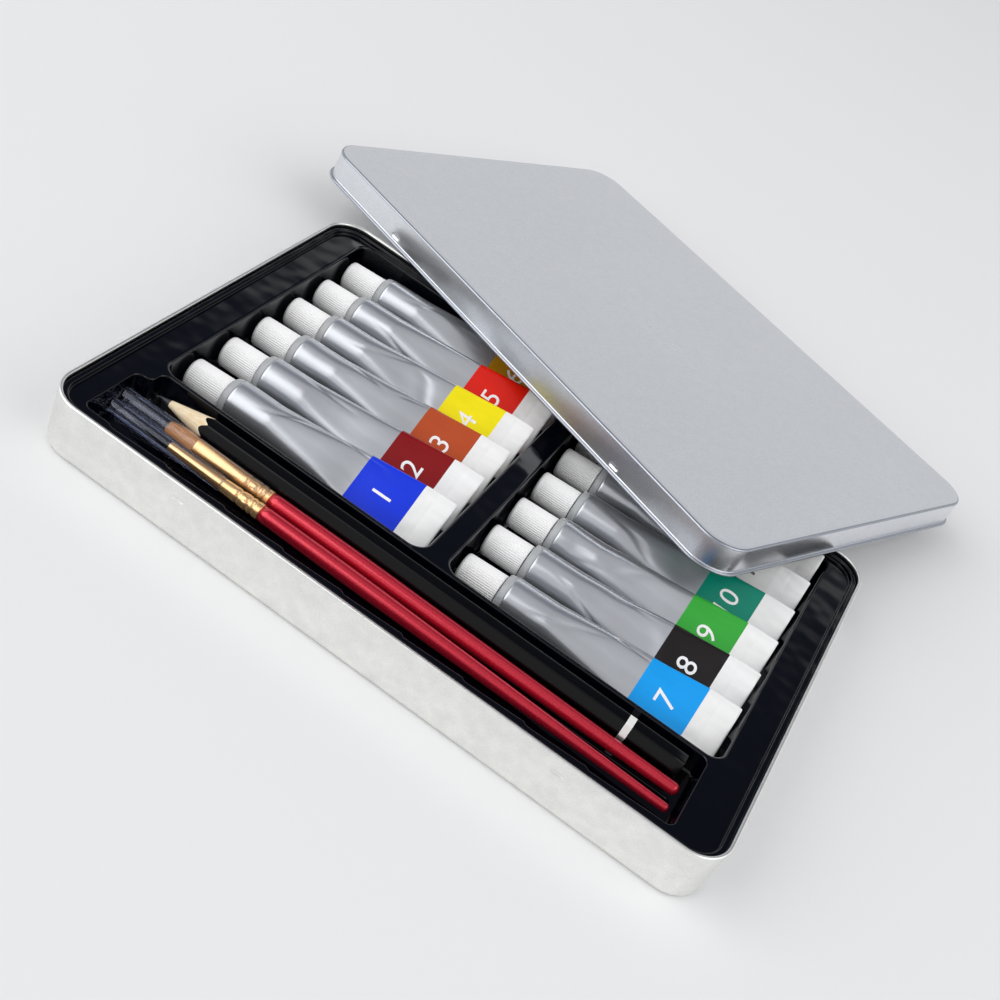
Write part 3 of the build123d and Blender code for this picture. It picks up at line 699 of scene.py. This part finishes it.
# ---------------------------------------------------------------- brushes
# Two slim brushes: a turned handle in metallic red lacquer, a plated ferrule
# crimped on with rolled rings, and hair under a sleeve of thin clear tube.
handle_end = 190.7         # from the sleeve's open end
handle_shoulder = 2.45
handle_belly = 2.6
ferrule_back_radius = 2.5
sleeve_wall = 0.2
brushes = {"round": {"sleeve": 40.6, "hair_tip": 8.0, "front": 21.5, "back": 54.0, "wide": 1.4, "thick": 1.4,
                     "hair_code": "#120F12", "tip": 1.2, "strands": 260, "turn": 0, "bore": 2.096},
           "flat": {"sleeve": 51.4, "hair_tip": 15.6, "front": 26.0, "back": 52.9, "wide": 2.6, "thick": 1.3,
                    "hair_code": "#FFCC96", "tip": 1.8, "strands": 420, "turn": 45, "bore": 2.65}}


def red_lacquer():
    """Sprayed metallic lacquer on turned wood: deep red, a clear gloss coat and fine bright flakes."""
    material, tree, shader = finish("lacquer_red_metallic", {
        "Metallic": 0.6, "Roughness": 0.3, "Coat Weight": 0.7, "Coat Roughness": 0.1})
    place = add(tree, "TexCoord", {}).outputs["Object"]
    flake = add(tree, "TexNoise", {"Vector": place, "Scale": 1 / (0.35 * mm), "Detail": 1.0})
    share = add(tree, "MapRange", {"Value": flake, "From Min": 0.35, "From Max": 0.72})
    tint = add(tree, "Mix", {"Factor": share, "A": linear("#C6102C"), "B": linear("#E02A44")},
               data_type="RGBA")
    feed(shader, {"Base Color": tint.outputs[2]})
    return material


def gold_plate():
    """Brass-plated tube under clear lacquer, bright and smooth."""
    material, tree, shader = finish("brass_plated", {"Base Color": linear("#FFD096"), "Metallic": 0.8})
    place = add(tree, "TexCoord", {}).outputs["Object"]
    fine = add(tree, "TexNoise", {"Vector": place, "Scale": 1 / (1.5 * mm), "Detail": 2.0})
    feed(shader, {"Roughness": add(tree, "MapRange", {"Value": fine, "To Min": 0.23, "To Max": 0.27})})
    return material


def clear_tube(name, least, most):
    """Clear PVC: nearly invisible face on, and a bright mirror along its edges."""
    material, tree, shader = finish("pvc_clear_" + name, {
        "Base Color": linear("#D8DEF2"), "Roughness": 0.08, "Metallic": 1.0})
    edge = add(tree, "Fresnel", {"IOR": 1.5})
    feed(shader, {"Alpha": add(tree, "MapRange", {"Value": edge, "To Min": least, "To Max": most})})
    return material


def brush_hair(code):
    """Brush hair: fine, slightly glossy filaments that differ a little in tone along the tuft."""
    material, tree, shader = finish("hair_" + code[1:], {"Roughness": 0.55, "Specular IOR Level": 0.25})
    stretched = add(tree, "Mapping", {"Vector": local_spot(tree), "Scale": (120, 4000, 4000)})
    fleck = add(tree, "TexNoise", {"Vector": stretched, "Scale": 1.0, "Detail": 1.0})
    worn = add(tree, "MapRange", {"Value": fleck, "From Min": 0.3, "From Max": 0.7,
                                  "To Min": 0.85, "To Max": 1.3})
    shade = add(tree, "VectorMath", {0: linear(code)[:3], 1: worn}, operation="MULTIPLY")
    feed(shader, {"Base Color": shade})
    return material


def ferrule(facts):
    """Grid of the ferrule: an ellipse that eases from the front's size to a round back, with rolled rings."""
    back, front = facts["back"], facts["front"]
    x = np.concatenate([[front, front + 0.06, front + 0.2], np.linspace(front + 1, back - 10, 14),
                        np.linspace(back - 9.5, back - 0.2, 76), [back, back - 0.02]])
    share = (x - front) / (back - front)
    ease = share if facts["wide"] == facts["thick"] else smooth(0, 0.75, share)
    wide = facts["wide"] + (ferrule_back_radius - facts["wide"]) * ease
    thick = facts["thick"] + (ferrule_back_radius - facts["thick"]) * ease
    groove = sum(np.exp(-((back - x - step) / 0.32) ** 2) for step in (2.2, 4.0, 7.5))
    roll = sum(np.exp(-((back - x - step) / 0.55) ** 2) for step in (3.1, 5.2, 8.6))
    change = 0.10 * roll - 0.22 * groove
    change[0] -= 0.1
    change[-2] -= 0.05
    change[-1] -= 0.3
    angle = np.linspace(0, 2 * math.pi, 72, endpoint=False)
    punch = (np.exp(-((back - x - 5.2) / 0.7) ** 2))[:, None] * 0.14 * np.sin(4.5 * angle) ** 8
    wide, thick = (wide + change)[:, None] - punch, (thick + change)[:, None] - punch
    along = np.broadcast_to(x[:, None], wide.shape)
    return np.stack([along, wide * np.cos(angle), thick * np.sin(angle)], -1)


def tuft(facts, draw):
    """Hair strands: each a thin tapering triangle-sided thread from the ferrule's mouth to the tip."""
    count, tip, root = facts["strands"], facts["hair_tip"], facts["front"]
    wide, thick = facts["wide"] - 0.4, facts["thick"] - 0.4
    seat = np.sqrt(draw.uniform(0, 1, count))
    round_by = draw.uniform(0, 2 * math.pi, count)
    seat_y, seat_z = seat * np.cos(round_by), seat * np.sin(round_by)
    is_round = facts["wide"] == facts["thick"]
    reach = (root - tip) * (1 - (0.30 if is_round else 0.05) * seat ** 2) * draw.uniform(0.93, 1.0, count)
    share = np.linspace(0, 1, 9)[:, None]
    swell = 1 + 0.22 * np.sin(math.pi * share ** 0.8)
    close = 1 - 0.85 * share ** 2.2 if is_round else 1 - 0.12 * share ** 3
    flat = close if is_round else 1 - 0.55 * share ** 1.5
    x = root + 0.6 - (reach + 0.6) * share
    y = wide * seat_y * swell * close + 0.05 * np.sin(7 * share + 20 * seat)
    z = thick * seat_z * swell * flat + 0.05 * np.cos(6 * share + 20 * seat)
    thin = 0.075 * (1 - 0.8 * share ** 2)
    shells = []
    side = np.radians((90, 210, 330))
    ring = np.stack([np.zeros(3), np.cos(side), np.sin(side)], -1)
    for k in range(count):
        middle = np.stack([x[:, k], y[:, k], z[:, k]], -1)
        shells.append((*shell(middle[:, None] + thin[:, :, None] * ring[None]), 0))
    return shells


lacquer, gold = red_lacquer(), gold_plate()
clear_outside, clear_inside, clear_cut = (clear_tube(*each) for each in (
    ("outside", 0.03, 0.7), ("inside", 0.0, 0.1), ("cut", 0.5, 0.9)))
for kind, facts in brushes.items():
    turn = joint[f"{kind}_sleeve_turn"]
    yaw = math.atan2(turn["axis"][1], turn["axis"][0])
    place = (Matrix.Translation([each / mm for each in turn["pos_m"]]) @ Matrix.Rotation(yaw, 4, "Z")
             @ Matrix.Rotation(math.radians(facts["turn"]), 4, "X"))
    body, back = f"{kind}_brush", facts["back"]
    straight = handle_end - facts["tip"]
    x = np.concatenate([np.linspace(back + 0.02, back + 60, 25), np.linspace(back + 60, straight, 20)[1:]])
    swell = np.sin(math.pi * np.clip((x - back) / 60, 0, 1)) ** 2
    radius = handle_shoulder + (handle_belly - handle_shoulder) * swell
    radius -= (handle_shoulder - facts["tip"]) * smooth(back + 40, straight + 25, x)
    handle_profile = [(back + 0.02, 0.05), (back + 0.02, handle_shoulder - 0.15), *zip(x[1:], radius[1:]),
                      *[(straight + facts["tip"] * math.sin(a), radius[-1] * math.cos(a))
                        for a in np.radians(np.linspace(8, 89, 10))]]
    piece(f"{kind}_handle", body, [f"{kind}_brush_handle"],
          [(*shell(turned(handle_profile, 48)), 0)], [lacquer], place)
    piece(f"{kind}_ferrule", body, [f"{kind}_brush_ferrule"],
          [(*shell(ferrule(facts)), 0)], [gold], place)
    piece(f"{kind}_tuft", body, [f"{kind}_brush_hair"], tuft(facts, np.random.default_rng(5)),
          [brush_hair(facts["hair_code"])], place)
    bore, end = facts["bore"], facts["sleeve"]
    walls = (([(x, bore + sleeve_wall) for x in (0, 1, end - 1, end)], 0),
             ([(x, bore) for x in (end, end - 1, 1, 0)], 1),
             ([(0, bore), (0, bore + sleeve_wall)], 2), ([(end, bore + sleeve_wall), (end, bore)], 2))
    piece(f"{kind}_sleeve", f"{kind}_sleeve", [f"{kind}_brush_sleeve"],
          [(*shell(turned(wall, 64), ends=False), number) for wall, number in walls],
          [clear_outside, clear_inside, clear_cut], place)

# ---------------------------------------------------------------- pencil
# A hexagonal pencil in black lacquer over pale cedar, sharpened to a long
# cone, with a narrow white ring printed near its blunt end.
pencil_flats = 7.0
pencil_length = 181.3
pencil_corner = 3.93       # from the axis to a rounded corner
corner_sharpness = 9       # per millimetre
blunt_run, blunt_drop = 0.25, 0.2     # bevel of the blunt end
scallops = (15.2, 19.5)    # the cone runs out between a flat's middle and its corners
cone_margin = 0.03         # so that the painted edge falls clear of the cut wood
lead_radius = 1.1
lead_point = 4.2
wood_cone = 11.8
ring_start = 162.1
ring_end = 164.3
pencil_low, pencil_high = (np.array(corner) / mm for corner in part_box("pencil_wood"))
pencil_place = Matrix.Translation((pencil_low[0] - lead_point, (pencil_low[1] + pencil_high[1]) / 2,
                                   (pencil_low[2] + pencil_high[2]) / 2))
cone_slope = (pencil_flats / 2 - lead_radius) / wood_cone


def pencil_wood_grid():
    """Grid where the radius is the lesser of a soft-edged hexagon and the sharpener's cone."""
    x = np.concatenate([np.linspace(lead_point, scallops[0] - 0.2, 14), np.linspace(*scallops, 40),
                        (30, 80, 130, ring_start, ring_end), np.linspace(170, pencil_length - blunt_run, 3),
                        [pencil_length]])[:, None]
    angle = np.linspace(0, 2 * math.pi, 144, endpoint=False)
    corner = (angle + math.pi / 6) % (math.pi / 3) - math.pi / 6
    flat = pencil_flats / 2 / np.cos(corner)
    hexagon = -np.log(np.exp(-flat * corner_sharpness)
                      + math.exp(-pencil_corner * corner_sharpness)) / corner_sharpness
    radius = np.minimum(hexagon, lead_radius + cone_slope * (x - lead_point))
    radius[-1] -= blunt_drop
    return np.stack([np.broadcast_to(x, radius.shape), radius * np.sin(angle), radius * np.cos(angle)], -1)


def pencil_lacquer():
    """Black nitrocellulose lacquer over cedar: glossy, with a white printed ring.

    The wood is bare and grained where the radius reaches the sharpener's cone.
    """
    material, tree, shader = finish("cedar_black_lacquered", {"Specular IOR Level": 0.25})
    spot = local_spot(tree)
    parts = add(tree, "SeparateXYZ", {"Vector": spot}).outputs
    across = add(tree, "CombineXYZ", {"Y": parts["Y"], "Z": parts["Z"]})
    radius = add(tree, "VectorMath", {0: across}, operation="LENGTH").outputs["Value"]
    cone_start = (lead_radius - cone_slope * lead_point - cone_margin) * mm
    cone = add(tree, "Math", {0: parts["X"], 1: cone_slope, 2: cone_start}, operation="MULTIPLY_ADD")
    bare = add(tree, "Math", {0: radius, 1: cone}, operation="GREATER_THAN")
    past_start, past_end = (add(tree, "Math", {0: parts["X"], 1: edge * mm}, operation="GREATER_THAN")
                            for edge in (ring_start, ring_end))
    in_ring = add(tree, "Math", {0: past_start, 1: past_end}, operation="SUBTRACT")
    coat = add(tree, "Mix", {"Factor": in_ring, "A": linear("#050507"), "B": linear("#EDEDEA")},
               data_type="RGBA")
    stretched = add(tree, "Mapping", {"Vector": spot, "Scale": (90, 1500, 1500)})
    grain = add(tree, "TexNoise", {"Vector": stretched, "Scale": 1.0, "Detail": 3.0})
    share = add(tree, "MapRange", {"Value": grain, "From Min": 0.35, "From Max": 0.65})
    wood = add(tree, "Mix", {"Factor": share, "A": linear("#EFD5A8"), "B": linear("#FBECD0")},
               data_type="RGBA")
    both = add(tree, "Mix", {"Factor": bare, "A": coat.outputs[2], "B": wood.outputs[2]}, data_type="RGBA")
    feed(shader, {"Base Color": both.outputs[2],
                  "Roughness": add(tree, "MapRange", {"Value": bare, "To Min": 0.16, "To Max": 0.65})})
    return material


def graphite():
    """Sharpened graphite: dark grey with a dull metallic shine and fine turning marks."""
    material, tree, shader = finish("graphite", {"Base Color": linear("#3A3A3D"), "Metallic": 0.4})
    stretched = add(tree, "Mapping", {"Vector": local_spot(tree), "Scale": (4000, 300, 300)})
    marks = add(tree, "TexNoise", {"Vector": stretched, "Scale": 1.0, "Detail": 1.0})
    feed(shader, {"Roughness": add(tree, "MapRange", {"Value": marks, "To Min": 0.3, "To Max": 0.5})})
    return material


piece("pencil_body", "pencil", ["pencil_wood"], [(*shell(pencil_wood_grid()), 0)],
      [pencil_lacquer()], pencil_place)
lead_profile = [(0, 0.08), (0.15, 0.2), (lead_point, lead_radius), (lead_point + 0.5, lead_radius - 0.1)]
piece("pencil_point", "pencil", ["pencil_lead"], [(*shell(turned(lead_profile, 32)), 0)],
      [graphite()], pencil_place)

# ---------------------------------------------------------------- light and floor
# A pale floor and a soft tent of light, level enough that colours render
# about as they are written, with broad lamps that draw the long highlights.
floor_size = 6.0
floor_mesh = bpy.data.meshes.new("floor")
floor_corners = [(x * floor_size, y * floor_size, 0) for x, y in ((-1, -1), (1, -1), (1, 1), (-1, 1))]
floor_mesh.from_pydata(floor_corners, [], [(0, 1, 2, 3)])
floor = bpy.data.objects.new("floor", floor_mesh)
bpy.context.scene.collection.objects.link(floor)
floor_paint, floor_tree, floor_shader = finish("floor_pale", {
    "Base Color": linear("#F1F1F1"), "Roughness": 0.9, "Specular IOR Level": 0.0})
floor_mesh.materials.append(floor_paint)
# Far from the tin the floor fades into the horizon's colour, for the eye and for mirrors alone.
horizon_colour = (0.70, 0.705, 0.72, 1)
fade_from, fade_to = 1.0, 2.6     # metres from the origin
floor_spot = add(floor_tree, "TexCoord", {}).outputs["Object"]
away = add(floor_tree, "VectorMath", {0: floor_spot}, operation="LENGTH").outputs["Value"]
far = add(floor_tree, "MapRange", {"Value": away, "From Min": fade_from, "From Max": fade_to},
          interpolation_type="SMOOTHSTEP")
ray = add(floor_tree, "LightPath", {}).outputs
mirrored = add(floor_tree, "Math", {0: ray["Is Glossy Ray"], 1: ray["Is Transmission Ray"]}, operation="ADD")
seen = add(floor_tree, "Math", {0: mirrored, 1: ray["Is Camera Ray"]}, operation="ADD", use_clamp=True)
fade = add(floor_tree, "Math", {0: seen, 1: far}, operation="MULTIPLY")
glow = add(floor_tree, "Emission", {"Color": horizon_colour})
blend = add(floor_tree, "MixShader", {0: fade, 1: floor_shader, 2: glow})
feed(floor_tree.nodes["Material Output"], {"Surface": blend})

roof_colour = (0.47, 0.47, 0.485, 1)
card_colour = (0.09, 0.10, 0.14, 1)
world = bpy.data.worlds.new("tent")
bpy.context.scene.world = world
world.use_nodes = True
sky = world.node_tree
# Each share rises from 0 to 1 as a direction's own Z, or Y, goes from one value to the other.
toward = add(sky, "SeparateXYZ", {"Vector": add(sky, "TexCoord", {}).outputs["Generated"]}).outputs
roof, card_foot, card_top, behind = (
    add(sky, "MapRange", {"Value": toward[axis], "From Min": low, "From Max": high},
        interpolation_type="SMOOTHSTEP")
    for axis, low, high in (("Z", 0.44, 0.68), ("Z", 0.50, 0.60), ("Z", 0.84, 0.93), ("Y", 0.20, 0.45)))
tent = add(sky, "Mix", {"Factor": roof, "A": horizon_colour, "B": roof_colour}, data_type="RGBA")
# A dark card high behind the tin, for the black pieces to mirror.
band = add(sky, "Math", {0: card_foot, 1: card_top}, operation="SUBTRACT")
card = add(sky, "Math", {0: band, 1: behind}, operation="MULTIPLY")
carded = add(sky, "Mix", {"Factor": card, "A": tent.outputs[2], "B": card_colour}, data_type="RGBA")
feed(sky.nodes["Background"], {"Color": carded.outputs[2]})


def soft_lamp(name, at, size, power):
    """Square area lamp that faces the tin, at the origin."""
    data = bpy.data.lights.new(name, "AREA")
    data.shape = "SQUARE"
    data.size = size
    data.energy = power
    lamp = bpy.data.objects.new(name, data)
    lamp.matrix_world = Matrix.Translation(at) @ Vector(at).to_track_quat("Z", "Y").to_matrix().to_4x4()
    bpy.context.scene.collection.objects.link(lamp)


soft_lamp("lamp_left", (-1.7, -1.1, 1.5), 2.8, 39.0)
soft_lamp("lamp_right", (1.8, -0.1, 1.6), 2.4, 20.0)
